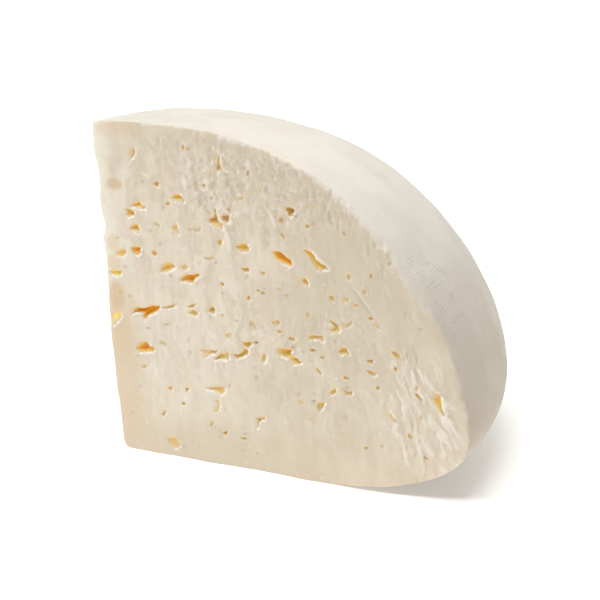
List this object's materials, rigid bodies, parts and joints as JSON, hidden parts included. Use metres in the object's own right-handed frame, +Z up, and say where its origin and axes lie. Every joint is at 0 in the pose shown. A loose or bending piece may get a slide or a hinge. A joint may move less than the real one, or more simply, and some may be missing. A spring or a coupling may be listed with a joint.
{
  "type": "brynza cheese wedge",
  "caption": "Wedge of white brynza cheese cut from a domed, cloth-drained head: a flat cut face full of small eyes, a smooth curved rind and a flat base.",
  "frame": {"origin": "middle of the bounding box, at the base that the wedge rests on", "axes": "+Z up, -Y out of the first cut face, +X from the thin edge towards the rind along that face"},
  "size_m": [0.1114, 0.1102, 0.095],
  "materials": {
    "cheese": "matt"
  },
  "bodies": {
    "root": {"brynza_wedge": "cheese"}
  },
  "joints": []
}
